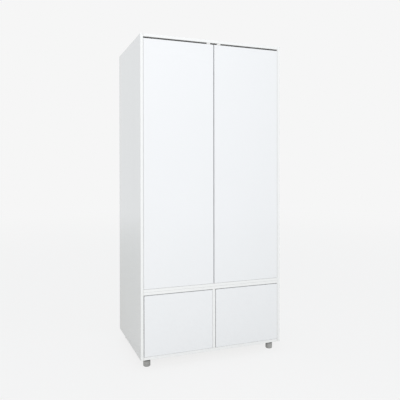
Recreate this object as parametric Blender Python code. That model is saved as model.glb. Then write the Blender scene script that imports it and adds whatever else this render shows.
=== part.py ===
# Tall wardrobe with two inset doors over two inset drawers, on round feet.
# Metres, +Z up. The front faces -Y and the origin is on the ground under the middle of the case.

import math

import bmesh
import bpy
from mathutils import Matrix, Vector

# Case
CASE_WIDTH = 0.860
CASE_DEPTH = 0.580
CASE_HEIGHT = 1.780
SIDE_THICKNESS = 0.016
TOP_THICKNESS = 0.016
BOTTOM_THICKNESS = 0.016
FLOOR_THICKNESS = 0.016
BAY_TOP_THICKNESS = 0.016
DIVIDER_THICKNESS = 0.016
BACK_THICKNESS = 0.003
BACK_REBATE = 0.008
BACK_RECESS = 0.0012
EDGE_ROUND = 0.0008
FIT_GAP = 0.0003

# Feet
FOOT_HEIGHT = 0.050
FOOT_DIAMETER = 0.040
FOOT_CHAMFER = 0.0015
FOOT_SIDE_INSET = 0.046
FOOT_FRONT_INSET = 0.052
FOOT_REAR_INSET = 0.052

# Doors
DOOR_THICKNESS = 0.016
DOOR_SIDE_GAP = 0.0012
DOOR_CENTRE_GAP = 0.005
DOOR_TOP_GAP = 0.0085
DOOR_BOTTOM_GAP = 0.0009

# Drawers
DRAWER_FRONT_THICKNESS = 0.016
DRAWER_FRONT_HEIGHT = 0.3347
DRAWER_TOP_GAP = 0.003
DRAWER_BOTTOM_GAP = 0.0008
DRAWER_SIDE_GAP = 0.0022
DRAWER_FRONT_SHIFT = 0.0012
DRAWER_BOX_LIFT = 0.0142
DRAWER_WALL_DROP = 0.045
DRAWER_WALL_THICKNESS = 0.012
DRAWER_BACK_THICKNESS = 0.012
DRAWER_BOTTOM_THICKNESS = 0.003
DRAWER_GROOVE_DEPTH = 0.006
DRAWER_GROOVE_LIFT = 0.010
DRAWER_REAR_CLEARANCE = 0.080

# Drawer runners
RUNNER_SPACE = 0.013
RUNNER_HEIGHT = 0.045
RUNNER_SHEET = 0.0012
RUNNER_LIP = 0.0055
RUNNER_PLAY = 0.002
RUNNER_LIFT = 0.060
RUNNER_SETBACK = 0.012

# Concealed hinges
HINGE_END_OFFSET = 0.100
CUP_DIAMETER = 0.035
CUP_EDGE = 0.005
CUP_DEPTH = 0.0115
CUP_WALL = 0.0012
CUP_RIM = 0.002
CUP_WING_LENGTH = 0.060
CUP_WING_WIDTH = 0.016
CUP_LINK_ROOT = 0.0003
LINK_WIDTH = 0.004
LINK_HEIGHT = 0.0048
LINK_CLEARANCE = 0.0006
ARM_DEPTH = 0.013
ARM_HEIGHT = 0.018
ARM_LENGTH = 0.060
NOSE_DEPTH = 0.0098
PLATE_THICKNESS = 0.003
PLATE_LAP = 0.0015
PLATE_HEIGHT = 0.050
PLATE_LENGTH = 0.032
PLATE_OFFSET = 0.012

# Push latches
LATCH_OFFSET = 0.032
LATCH_WIDTH = 0.020
LATCH_LENGTH = 0.062
LATCH_SETBACK = 0.002
LATCH_DOOR_GAP = 0.0012
LATCH_WALL = 0.004
PLUNGER_DIAMETER = 0.008
PLUNGER_LENGTH = 0.052
PLUNGER_DROP = 0.011
PLUNGER_PROUD = 0.003
STRIKE_DIAMETER = 0.015
STRIKE_THICKNESS = 0.0012

# Hanging rail
RAIL_DIAMETER = 0.025
RAIL_WALL = 0.0012
RAIL_DROP = 0.060
SOCKET_FLANGE_DIAMETER = 0.048
SOCKET_FLANGE_THICKNESS = 0.003
SOCKET_COLLAR_WALL = 0.003
SOCKET_COLLAR_DEPTH = 0.012

# Facets of round shapes
ROUND_STEPS = 32
SMALL_STEPS = 20
ARC_STEP = math.radians(9.0)
EDGE_SEGMENTS = 2
ROUND_PROFILE = 0.5
SMOOTH_ANGLE = math.radians(35.0)
MERGE_DISTANCE = 1e-6

# Levels and planes that the pieces share
HALF_WIDTH = CASE_WIDTH / 2
INNER_HALF = HALF_WIDTH - SIDE_THICKNESS
FRONT = -CASE_DEPTH / 2
REAR = CASE_DEPTH / 2
BOARD_END = INNER_HALF - FIT_GAP
BACK_REAR = REAR - BACK_RECESS
BACK_FRONT = BACK_REAR - BACK_THICKNESS
BOARD_REAR = BACK_FRONT - FIT_GAP
REBATE_END = INNER_HALF + BACK_REBATE
CASE_BASE = FOOT_HEIGHT
CASE_TOP = CASE_BASE + CASE_HEIGHT
BOTTOM_HIGH = CASE_BASE + BOTTOM_THICKNESS
DRAWER_LOW = BOTTOM_HIGH + DRAWER_BOTTOM_GAP
DRAWER_HIGH = DRAWER_LOW + DRAWER_FRONT_HEIGHT
BAY_TOP_LOW = DRAWER_HIGH + DRAWER_TOP_GAP
BAY_TOP_HIGH = BAY_TOP_LOW + BAY_TOP_THICKNESS
FLOOR_LOW = BAY_TOP_HIGH + FIT_GAP
FLOOR_HIGH = FLOOR_LOW + FLOOR_THICKNESS
TOP_LOW = CASE_TOP - TOP_THICKNESS
DOOR_LOW = FLOOR_HIGH + DOOR_BOTTOM_GAP
DOOR_HIGH = TOP_LOW - DOOR_TOP_GAP
DOOR_REAR = FRONT + DOOR_THICKNESS
DOOR_OUTER = INNER_HALF - DOOR_SIDE_GAP
DOOR_INNER = DOOR_CENTRE_GAP / 2

# Hinge places, along the door from its axis and inwards from its front
CUP_RADIUS = CUP_DIAMETER / 2
CUP_MIDDLE = CUP_EDGE + CUP_RADIUS
CUP_INNER = CUP_RADIUS - CUP_WALL
CUP_BASE = DOOR_THICKNESS - CUP_DEPTH
CUP_FLOOR = CUP_BASE + CUP_WALL
RIM_LOW = DOOR_THICKNESS + FIT_GAP
RIM_HIGH = RIM_LOW + CUP_WALL
LINK_STEP = LINK_HEIGHT + FIT_GAP
STACK_HALF = LINK_STEP + LINK_HEIGHT / 2
RIM_ALONG = CUP_MIDDLE - math.sqrt(CUP_INNER**2 - STACK_HALF**2)
LINK_INNER = math.hypot(RIM_ALONG, RIM_HIGH) + LINK_CLEARANCE
LINK_OUTER = LINK_INNER + LINK_WIDTH
LINK_START = math.asin((CUP_FLOOR + LINK_CLEARANCE) / LINK_INNER)
LINK_END = math.pi / 2
ROOT_START = math.asin((CUP_BASE + CUP_LINK_ROOT) / LINK_INNER)
PLATE_LOW = FIT_GAP - DOOR_SIDE_GAP
PLATE_HIGH = PLATE_LOW + PLATE_THICKNESS
ARM_FRONT = LINK_OUTER + LINK_CLEARANCE
ARM_REAR = ARM_FRONT + ARM_LENGTH
PLATE_FRONT = ARM_FRONT + PLATE_OFFSET

# Latch places
PLUNGER_RADIUS = PLUNGER_DIAMETER / 2
PLUNGER_LEVEL = DOOR_HIGH - PLUNGER_DROP
PLUNGER_TIP = DOOR_REAR + FIT_GAP + STRIKE_THICKNESS + FIT_GAP
HOUSE_FRONT = PLUNGER_TIP + PLUNGER_PROUD
HOUSE_REAR = HOUSE_FRONT + LATCH_LENGTH
HOUSE_LOW = PLUNGER_LEVEL - PLUNGER_RADIUS - LATCH_WALL

# Drawer box places
BAY_WIDTH = INNER_HALF - DIVIDER_THICKNESS / 2
BAY_MIDDLE = DIVIDER_THICKNESS / 2 + BAY_WIDTH / 2
BOX_HALF = BAY_WIDTH / 2 - RUNNER_SPACE
BOX_INNER = BOX_HALF - DRAWER_WALL_THICKNESS
BOX_FRONT = FRONT + DRAWER_FRONT_THICKNESS + FIT_GAP
BOX_REAR = BACK_FRONT - DRAWER_REAR_CLEARANCE
BOX_LOW = DRAWER_LOW + DRAWER_BOX_LIFT
BOX_HIGH = DRAWER_HIGH - DRAWER_WALL_DROP
GROOVE_END = BOX_INNER + DRAWER_GROOVE_DEPTH
GROOVE_LOW = BOX_LOW + DRAWER_GROOVE_LIFT
BOX_BOTTOM_LOW = GROOVE_LOW + FIT_GAP
BOX_BOTTOM_HIGH = BOX_BOTTOM_LOW + DRAWER_BOTTOM_THICKNESS
GROOVE_HIGH = BOX_BOTTOM_HIGH + FIT_GAP
RUNNER_LEVEL = BOX_LOW + RUNNER_LIFT

SIDES = {"left": -1, "right": 1}
HINGE_PLACES = ("lower", "middle", "upper")


def clear_scene():
    for obj in list(bpy.data.objects):
        bpy.data.objects.remove(obj, do_unlink=True)


def make_finish(name, colour, roughness, metallic=0.0):
    material = bpy.data.materials.new(name)
    material.use_nodes = True
    shader = material.node_tree.nodes["Principled BSDF"]
    shader.inputs["Base Color"].default_value = (*colour, 1.0)
    shader.inputs["Roughness"].default_value = roughness
    shader.inputs["Metallic"].default_value = metallic
    return material


def axis_empty(name, location):
    empty = bpy.data.objects.new(name, None)
    empty.location = location
    bpy.context.scene.collection.objects.link(empty)
    return empty


def add_object(name, bm, finish, parent=None, smooth=False):
    # The shape arrives in world places: its middle becomes the object's origin.
    bmesh.ops.recalc_face_normals(bm, faces=bm.faces)
    corners = [vert.co for vert in bm.verts]
    low = Vector(min(corner[axis] for corner in corners) for axis in range(3))
    high = Vector(max(corner[axis] for corner in corners) for axis in range(3))
    middle = (low + high) / 2
    bmesh.ops.translate(bm, verts=bm.verts, vec=-middle)
    mesh = bpy.data.meshes.new(name)
    bm.to_mesh(mesh)
    bm.free()
    mesh.materials.append(finish)
    if smooth:
        mesh.shade_smooth()
        mesh.set_sharp_from_angle(angle=SMOOTH_ANGLE)
    obj = bpy.data.objects.new(name, mesh)
    bpy.context.scene.collection.objects.link(obj)
    obj.parent = parent
    obj.location = middle - (parent.location if parent else Vector())
    return obj


def combine(obj, tool, operation):
    # The tool stays in the scene as a hidden wire guide.
    tool.hide_render = True
    tool.display_type = "WIRE"
    modifier = obj.modifiers.new(tool.name, "BOOLEAN")
    modifier.operation = operation
    modifier.solver = "EXACT"
    modifier.object = tool


def box_shape(low, high):
    bm = bmesh.new()
    bmesh.ops.create_cube(bm, size=1.0)
    low = Vector(low)
    high = Vector(high)
    bmesh.ops.scale(bm, vec=high - low, verts=bm.verts)
    bmesh.ops.translate(bm, vec=(low + high) / 2, verts=bm.verts)
    return bm


def prism_shape(outline, axis, low, high):
    # An outline in the plane across the axis, carried along the axis from low to high.
    places = {
        "x": lambda p, q: Vector((low, p, q)),
        "y": lambda p, q: Vector((p, low, q)),
        "z": lambda p, q: Vector((p, q, low)),
    }
    steps = {"x": (high - low, 0, 0), "y": (0, high - low, 0), "z": (0, 0, high - low)}
    bm = bmesh.new()
    face = bm.faces.new([bm.verts.new(places[axis](p, q)) for p, q in outline])
    grown = bmesh.ops.extrude_face_region(bm, geom=[face])
    moved = [item for item in grown["geom"] if isinstance(item, bmesh.types.BMVert)]
    bmesh.ops.translate(bm, vec=steps[axis], verts=moved)
    return bm


def turned_shape(profile, centre, axis, steps):
    # A profile of (radius, height) points, spun about the axis through the centre.
    bm = bmesh.new()
    verts = [bm.verts.new((radius, 0, height)) for radius, height in profile]
    edges = [bm.edges.new(pair) for pair in zip(verts, verts[1:])]
    if profile[0][0] > 0:
        edges.append(bm.edges.new((verts[-1], verts[0])))
    bmesh.ops.spin(
        bm, geom=verts + edges, cent=(0, 0, 0), axis=(0, 0, 1), angle=math.tau, steps=steps
    )
    bmesh.ops.remove_doubles(bm, verts=bm.verts, dist=MERGE_DISTANCE)
    turn = Vector((0, 0, 1)).rotation_difference(Vector(axis)).to_matrix().to_4x4()
    bmesh.ops.transform(bm, matrix=Matrix.Translation(centre) @ turn, verts=bm.verts)
    return bm


def rod_shape(radius, centre, axis, length, steps):
    profile = [(0, 0), (radius, 0), (radius, length), (0, length)]
    return turned_shape(profile, centre, axis, steps)


def round_edges(bm):
    bmesh.ops.recalc_face_normals(bm, faces=bm.faces)
    outer = [edge for edge in bm.edges if edge.is_convex]
    bmesh.ops.bevel(
        bm,
        geom=outer,
        offset=EDGE_ROUND,
        segments=EDGE_SEGMENTS,
        profile=ROUND_PROFILE,
        affect="EDGES",
        clamp_overlap=True,
    )


def board(name, low, high, finish, parent=None):
    bm = box_shape(low, high)
    round_edges(bm)
    return add_object(name, bm, finish, parent)


def thin_board(name, low, high, finish, parent=None):
    return add_object(name, box_shape(low, high), finish, parent)


def arc_points(radius, start, end):
    count = max(2, math.ceil(abs(end - start) / ARC_STEP))
    angles = [start + (end - start) * step / count for step in range(count + 1)]
    return [(radius * math.cos(angle), radius * math.sin(angle)) for angle in angles]


def make_side_panel(name, sign, finishes):
    outline = [
        (sign * HALF_WIDTH, FRONT),
        (sign * HALF_WIDTH, REAR),
        (sign * REBATE_END, REAR),
        (sign * REBATE_END, BOARD_REAR),
        (sign * INNER_HALF, BOARD_REAR),
        (sign * INNER_HALF, FRONT),
    ]
    bm = prism_shape(outline, "z", CASE_BASE, CASE_TOP)
    round_edges(bm)
    add_object(f"{name}_side_panel", bm, finishes["gloss"])


def make_case(finishes):
    for name, sign in SIDES.items():
        make_side_panel(name, sign, finishes)
    levels = {
        "top_panel": (TOP_LOW, CASE_TOP, "gloss"),
        "bottom_panel": (CASE_BASE, BOTTOM_HIGH, "inside"),
        "wardrobe_floor_panel": (FLOOR_LOW, FLOOR_HIGH, "inside"),
        "drawer_bay_top_panel": (BAY_TOP_LOW, BAY_TOP_HIGH, "inside"),
    }
    for name, (low, high, finish) in levels.items():
        board(
            name,
            (-BOARD_END, FRONT, low),
            (BOARD_END, BOARD_REAR, high),
            finishes[finish],
        )
    board(
        "drawer_divider",
        (-DIVIDER_THICKNESS / 2, FRONT, BOTTOM_HIGH + FIT_GAP),
        (DIVIDER_THICKNESS / 2, BOARD_REAR, BAY_TOP_LOW - FIT_GAP),
        finishes["inside"],
    )
    back_half = REBATE_END - FIT_GAP
    thin_board(
        "back_panel",
        (-back_half, BACK_FRONT, CASE_BASE),
        (back_half, BACK_REAR, CASE_TOP),
        finishes["hardboard"],
    )


def make_feet(finishes):
    radius = FOOT_DIAMETER / 2
    height = FOOT_HEIGHT - FIT_GAP
    profile = [
        (0, 0),
        (radius - FOOT_CHAMFER, 0),
        (radius, FOOT_CHAMFER),
        (radius, height - FOOT_CHAMFER),
        (radius - FOOT_CHAMFER, height),
        (0, height),
    ]
    rows = {"front": FRONT + FOOT_FRONT_INSET, "rear": REAR - FOOT_REAR_INSET}
    for row, y in rows.items():
        for name, sign in SIDES.items():
            centre = (sign * (HALF_WIDTH - FOOT_SIDE_INSET), y, 0)
            bm = turned_shape(profile, centre, (0, 0, 1), ROUND_STEPS)
            add_object(f"{row}_{name}_foot", bm, finishes["foot_metal"], smooth=True)


def make_rail(finishes):
    radius = RAIL_DIAMETER / 2
    bore = radius + FIT_GAP
    collar = bore + SOCKET_COLLAR_WALL
    collar_end = SOCKET_FLANGE_THICKNESS + SOCKET_COLLAR_DEPTH
    flange = SOCKET_FLANGE_DIAMETER / 2
    height = TOP_LOW - RAIL_DROP
    rail_end = BOARD_END - SOCKET_FLANGE_THICKNESS - FIT_GAP
    tube = [
        (radius, 0),
        (radius, 2 * rail_end),
        (radius - RAIL_WALL, 2 * rail_end),
        (radius - RAIL_WALL, 0),
    ]
    bm = turned_shape(tube, (-rail_end, 0, height), (1, 0, 0), SMALL_STEPS)
    add_object("hanging_rail", bm, finishes["chrome"], smooth=True)
    socket = [
        (0, 0),
        (flange, 0),
        (flange, SOCKET_FLANGE_THICKNESS),
        (collar, SOCKET_FLANGE_THICKNESS),
        (collar, collar_end),
        (bore, collar_end),
        (bore, SOCKET_FLANGE_THICKNESS),
        (0, SOCKET_FLANGE_THICKNESS),
    ]
    for name, sign in SIDES.items():
        bm = turned_shape(socket, (sign * BOARD_END, 0, height), (-sign, 0, 0), SMALL_STEPS)
        add_object(f"{name}_rail_socket", bm, finishes["chrome"], smooth=True)


def make_doors(finishes):
    for name, sign in SIDES.items():
        axis = axis_empty(f"{name}_door_axis", (sign * DOOR_OUTER, FRONT, DOOR_LOW))
        ends = sorted((sign * DOOR_INNER, sign * DOOR_OUTER))
        door = board(
            f"{name}_door",
            (ends[0], FRONT, DOOR_LOW),
            (ends[1], DOOR_REAR, DOOR_HIGH),
            finishes["gloss"],
            axis,
        )
        make_hinges(name, sign, door, axis, finishes)
        make_latch(name, sign, axis, finishes)


def hinge_plan(sign, points):
    # From places along the door and inwards from its front to X and Y, turned for each side.
    return [(sign * (DOOR_OUTER - along), FRONT + inwards) for along, inwards in points]


def hinge_block(sign, along, inwards, low, high):
    (x_near, y_near), (x_far, y_far) = hinge_plan(sign, zip(along, inwards))
    x_low, x_high = sorted((x_near, x_far))
    return box_shape((x_low, y_near, low), (x_high, y_far, high))


def link_outline(start, end):
    return arc_points(LINK_OUTER, start, end) + arc_points(LINK_INNER, end, start)


def link_shape(sign, outline, level):
    low = level - LINK_HEIGHT / 2
    return prism_shape(hinge_plan(sign, outline), "z", low, low + LINK_HEIGHT)


def make_hinges(name, sign, door, door_axis, finishes):
    link_axis = axis_empty(f"{name}_link_axis", door_axis.location)
    span = DOOR_HIGH - DOOR_LOW - 2 * HINGE_END_OFFSET
    for index, place in enumerate(HINGE_PLACES):
        level = DOOR_LOW + HINGE_END_OFFSET + span * index / (len(HINGE_PLACES) - 1)
        make_hinge_cup(name, place, sign, level, door, door_axis, finishes["steel"])
        # The middle link turns half as far as the door.
        add_object(
            f"{name}_hinge_link_{place}",
            link_shape(sign, link_outline(LINK_START, LINK_END), level),
            finishes["steel"],
            link_axis,
        )
        make_hinge_arm(name, place, sign, level, finishes["steel"])


def make_hinge_cup(name, place, sign, level, door, door_axis, steel):
    # A turned shell with a rim, a wing for its screws and the outer link, in a bore of the door.
    cup_x = sign * (DOOR_OUTER - CUP_MIDDLE)
    bore_depth = CUP_DEPTH + FIT_GAP
    bore = add_object(
        f"{name}_door_cup_bore_{place}",
        rod_shape(
            CUP_RADIUS + FIT_GAP,
            (cup_x, DOOR_REAR - bore_depth, level),
            (0, 1, 0),
            bore_depth + DOOR_THICKNESS,
            ROUND_STEPS,
        ),
        steel,
        door_axis,
    )
    combine(door, bore, "DIFFERENCE")
    shell = [
        (0, CUP_BASE),
        (CUP_RADIUS, CUP_BASE),
        (CUP_RADIUS, RIM_LOW),
        (CUP_RADIUS + CUP_RIM, RIM_LOW),
        (CUP_RADIUS + CUP_RIM, RIM_HIGH),
        (CUP_INNER, RIM_HIGH),
        (CUP_INNER, CUP_FLOOR),
        (0, CUP_FLOOR),
    ]
    cup = add_object(
        f"{name}_hinge_cup_{place}",
        turned_shape(shell, (cup_x, FRONT, level), (0, 1, 0), ROUND_STEPS),
        steel,
        door_axis,
    )
    wing_near = CUP_MIDDLE + CUP_INNER
    wing = add_object(
        f"{name}_hinge_cup_wing_{place}",
        hinge_block(
            sign,
            (wing_near, wing_near + CUP_WING_WIDTH),
            (RIM_LOW, RIM_HIGH),
            level - CUP_WING_LENGTH / 2,
            level + CUP_WING_LENGTH / 2,
        ),
        steel,
        door_axis,
    )
    combine(cup, wing, "UNION")
    outer_link = add_object(
        f"{name}_hinge_cup_link_{place}",
        link_shape(sign, link_outline(ROOT_START, LINK_END), level + LINK_STEP),
        steel,
        door_axis,
    )
    combine(cup, outer_link, "UNION")


def make_hinge_arm(name, place, sign, level, steel):
    # An arm on its plate, with a nose that carries the middle link.
    outline = [
        (PLATE_HIGH, ARM_FRONT),
        (ARM_DEPTH, ARM_FRONT),
        (ARM_DEPTH, ARM_REAR - ARM_DEPTH),
        (PLATE_HIGH + PLATE_THICKNESS, ARM_REAR),
        (PLATE_HIGH, ARM_REAR),
    ]
    arm = add_object(
        f"{name}_hinge_arm_{place}",
        prism_shape(
            hinge_plan(sign, outline), "z", level - ARM_HEIGHT / 2, level + ARM_HEIGHT / 2
        ),
        steel,
    )
    plate = add_object(
        f"{name}_hinge_plate_{place}",
        hinge_block(
            sign,
            (PLATE_LOW, PLATE_HIGH + PLATE_LAP),
            (PLATE_FRONT, PLATE_FRONT + PLATE_LENGTH),
            level - PLATE_HEIGHT / 2,
            level + PLATE_HEIGHT / 2,
        ),
        steel,
    )
    combine(arm, plate, "UNION")
    outline = arc_points(LINK_OUTER, LINK_START, math.acos(NOSE_DEPTH / LINK_OUTER))
    outline += [(NOSE_DEPTH, ARM_FRONT + LINK_WIDTH), (PLATE_HIGH, ARM_FRONT + LINK_WIDTH)]
    outline += arc_points(LINK_INNER, math.acos(PLATE_HIGH / LINK_INNER), LINK_START)
    nose = add_object(
        f"{name}_hinge_nose_{place}", link_shape(sign, outline, level - LINK_STEP), steel
    )
    combine(arm, nose, "UNION")


def make_latch(name, sign, door_axis, finishes):
    middle = sign * LATCH_OFFSET
    make_latch_body(name, middle, finishes["white_plastic"])
    slide_axis = axis_empty(f"{name}_plunger_axis", (middle, PLUNGER_TIP, PLUNGER_LEVEL))
    add_object(
        f"{name}_latch_plunger",
        rod_shape(PLUNGER_RADIUS, slide_axis.location, (0, 1, 0), PLUNGER_LENGTH, SMALL_STEPS),
        finishes["grey_plastic"],
        slide_axis,
        smooth=True,
    )
    add_object(
        f"{name}_strike_plate",
        rod_shape(
            STRIKE_DIAMETER / 2,
            (middle, DOOR_REAR + FIT_GAP, PLUNGER_LEVEL),
            (0, 1, 0),
            STRIKE_THICKNESS,
            SMALL_STEPS,
        ),
        finishes["steel"],
        door_axis,
        smooth=True,
    )


def make_latch_body(name, middle, plastic):
    # A flange over the door's top edge, seen in the gap, and the housing behind the door.
    flange_front = FRONT + LATCH_SETBACK
    flange_low = DOOR_HIGH + LATCH_DOOR_GAP
    flange_high = TOP_LOW - FIT_GAP
    outline = [
        (flange_front, flange_low),
        (HOUSE_FRONT, flange_low),
        (HOUSE_FRONT, HOUSE_LOW),
        (HOUSE_REAR, HOUSE_LOW),
        (HOUSE_REAR, flange_high),
        (flange_front, flange_high),
    ]
    body = add_object(
        f"{name}_latch_body",
        prism_shape(outline, "x", middle - LATCH_WIDTH / 2, middle + LATCH_WIDTH / 2),
        plastic,
    )
    # The bore starts in front of the housing, so that it cuts the housing's face cleanly.
    bore_front = HOUSE_FRONT - PLUNGER_PROUD
    bore = add_object(
        f"{name}_latch_bore",
        rod_shape(
            PLUNGER_RADIUS + FIT_GAP,
            (middle, bore_front, PLUNGER_LEVEL),
            (0, 1, 0),
            PLUNGER_LENGTH + FIT_GAP,
            SMALL_STEPS,
        ),
        plastic,
    )
    combine(body, bore, "DIFFERENCE")


def make_drawers(finishes):
    front_half = BAY_WIDTH / 2 - DRAWER_SIDE_GAP
    for name, sign in SIDES.items():
        middle = sign * BAY_MIDDLE
        axis = axis_empty(f"{name}_drawer_axis", (middle, FRONT, RUNNER_LEVEL))
        # Both fronts sit a little to the right of the middle of their openings.
        front_middle = middle + DRAWER_FRONT_SHIFT
        board(
            f"{name}_drawer_front",
            (front_middle - front_half, FRONT, DRAWER_LOW),
            (front_middle + front_half, FRONT + DRAWER_FRONT_THICKNESS, DRAWER_HIGH),
            finishes["gloss"],
            axis,
        )
        for hand_name, hand in SIDES.items():
            wall_name = f"{name}_drawer_{hand_name}"
            make_drawer_wall(wall_name, middle, hand, axis, finishes["inside"])
            make_runner(wall_name, middle, hand, axis, finishes["steel"])
        thin_board(
            f"{name}_drawer_back",
            (middle - BOX_INNER + FIT_GAP, BOX_REAR - DRAWER_BACK_THICKNESS, GROOVE_HIGH),
            (middle + BOX_INNER - FIT_GAP, BOX_REAR, BOX_HIGH),
            finishes["inside"],
            axis,
        )
        thin_board(
            f"{name}_drawer_bottom",
            (middle - GROOVE_END + FIT_GAP, BOX_FRONT, BOX_BOTTOM_LOW),
            (middle + GROOVE_END - FIT_GAP, BOX_REAR, BOX_BOTTOM_HIGH),
            finishes["hardboard"],
            axis,
        )


def make_drawer_wall(name, middle, hand, axis, inside):
    # A board with a groove for the bottom in its inner face.
    outline = [
        (middle + hand * BOX_HALF, BOX_LOW),
        (middle + hand * BOX_HALF, BOX_HIGH),
        (middle + hand * BOX_INNER, BOX_HIGH),
        (middle + hand * BOX_INNER, GROOVE_HIGH),
        (middle + hand * GROOVE_END, GROOVE_HIGH),
        (middle + hand * GROOVE_END, GROOVE_LOW),
        (middle + hand * BOX_INNER, GROOVE_LOW),
        (middle + hand * BOX_INNER, BOX_LOW),
    ]
    add_object(f"{name}_wall", prism_shape(outline, "y", BOX_FRONT, BOX_REAR), inside, axis)


def make_runner(name, middle, hand, axis, steel):
    # Section places are (out from the bay's wall, up from the runner's middle).
    wall = middle + hand * BAY_WIDTH / 2

    def section(points):
        return [(wall - hand * out, RUNNER_LEVEL + up) for out, up in points]

    sheet = RUNNER_SHEET
    half = RUNNER_HEIGHT / 2
    web = FIT_GAP
    face = RUNNER_SPACE - FIT_GAP
    mouth = face - sheet - RUNNER_PLAY
    lip = half - RUNNER_LIP
    start = BOX_FRONT + RUNNER_SETBACK
    channel = [
        (web, -half),
        (mouth, -half),
        (mouth, -lip),
        (mouth - sheet, -lip),
        (mouth - sheet, sheet - half),
        (web + sheet, sheet - half),
        (web + sheet, half - sheet),
        (mouth - sheet, half - sheet),
        (mouth - sheet, lip),
        (mouth, lip),
        (mouth, half),
        (web, half),
    ]
    add_object(f"{name}_case_runner", prism_shape(section(channel), "y", start, BOX_REAR), steel)
    neck = lip - FIT_GAP
    hook = half - sheet - FIT_GAP
    hook_in = web + sheet + RUNNER_PLAY
    hat = [
        (face, -neck),
        (face, neck),
        (hook_in + sheet, neck),
        (hook_in + sheet, hook),
        (hook_in, hook),
        (hook_in, neck - sheet),
        (face - sheet, neck - sheet),
        (face - sheet, sheet - neck),
        (hook_in, sheet - neck),
        (hook_in, -hook),
        (hook_in + sheet, -hook),
        (hook_in + sheet, -neck),
    ]
    add_object(
        f"{name}_drawer_runner", prism_shape(section(hat), "y", start, BOX_REAR), steel, axis
    )


def main():
    clear_scene()
    finishes = {
        "gloss": make_finish("white_gloss_lacquer", (0.86, 0.87, 0.87), 0.12),
        "inside": make_finish("white_melamine", (0.82, 0.82, 0.81), 0.45),
        "hardboard": make_finish("white_faced_hardboard", (0.74, 0.73, 0.71), 0.6),
        "foot_metal": make_finish("satin_metal", (0.56, 0.56, 0.56), 0.32, 1.0),
        "steel": make_finish("zinc_plated_steel", (0.62, 0.62, 0.61), 0.35, 1.0),
        "chrome": make_finish("polished_chrome", (0.78, 0.78, 0.78), 0.12, 1.0),
        "white_plastic": make_finish("white_plastic", (0.84, 0.84, 0.83), 0.4),
        "grey_plastic": make_finish("grey_plastic", (0.42, 0.42, 0.42), 0.5),
    }
    make_case(finishes)
    make_feet(finishes)
    make_rail(finishes)
    make_doors(finishes)
    make_drawers(finishes)


main()
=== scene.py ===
# Looks for the tall wardrobe: boards, feet, rail, latches, runners, hinges, fasteners, studio and camera.
import functools
import math
import operator

import bpy
import numpy as np
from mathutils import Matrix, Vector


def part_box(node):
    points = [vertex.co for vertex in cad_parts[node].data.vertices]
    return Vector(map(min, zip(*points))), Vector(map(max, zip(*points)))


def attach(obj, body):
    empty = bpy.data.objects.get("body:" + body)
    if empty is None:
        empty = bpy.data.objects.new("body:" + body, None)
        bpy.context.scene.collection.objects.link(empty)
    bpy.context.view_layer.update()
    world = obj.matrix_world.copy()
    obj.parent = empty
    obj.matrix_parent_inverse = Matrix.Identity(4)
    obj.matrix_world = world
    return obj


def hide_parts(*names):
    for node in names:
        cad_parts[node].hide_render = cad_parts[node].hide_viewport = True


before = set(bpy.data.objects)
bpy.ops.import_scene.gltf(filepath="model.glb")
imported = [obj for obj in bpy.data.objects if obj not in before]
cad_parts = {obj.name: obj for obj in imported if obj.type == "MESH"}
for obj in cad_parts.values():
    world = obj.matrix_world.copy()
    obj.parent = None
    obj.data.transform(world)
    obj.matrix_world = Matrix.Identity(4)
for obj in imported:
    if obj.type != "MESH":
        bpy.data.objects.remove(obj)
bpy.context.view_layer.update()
print("frame loaded:", len(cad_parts), "nodes")

hands = {"left": -1, "right": 1}
hingePlaces = ("lower", "middle", "upper")
upwards, downwards, rearwards, forwards = (0, 0, 1), (0, 0, -1), (0, 1, 0), (0, -1, 0)


class Wire:
    # one socket of a finish: arithmetic on it adds Math nodes, & is the least and | the most
    def __init__(self, sheet, socket):
        self.sheet = sheet
        self.socket = socket

    def join(self, operation, first, second=0.0):
        return self.sheet.node("ShaderNodeMath", {"operation": operation}, {0: first, 1: second})

    def __add__(self, other):
        return self.join("ADD", self, other)

    def __sub__(self, other):
        return self.join("SUBTRACT", self, other)

    def __rsub__(self, other):
        return self.join("SUBTRACT", other, self)

    def __mul__(self, other):
        return self.join("MULTIPLY", self, other)

    def __and__(self, other):
        return self.join("MINIMUM", self, other)

    def __or__(self, other):
        return self.join("MAXIMUM", self, other)

    def __lt__(self, other):
        return self.join("LESS_THAN", self, other)

    def __gt__(self, other):
        return self.join("GREATER_THAN", self, other)

    def __abs__(self):
        return self.join("ABSOLUTE", self)

    __radd__ = __add__
    __rmul__ = __mul__
    __rand__ = __and__
    __ror__ = __or__

    def sine(self):
        return self.join("SINE", self)

    def root(self):
        return self.join("SQRT", self)

    def parts(self):
        first = self.sheet.node("ShaderNodeSeparateXYZ", None, {0: self})
        return [Wire(self.sheet, socket) for socket in first.socket.node.outputs]


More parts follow.
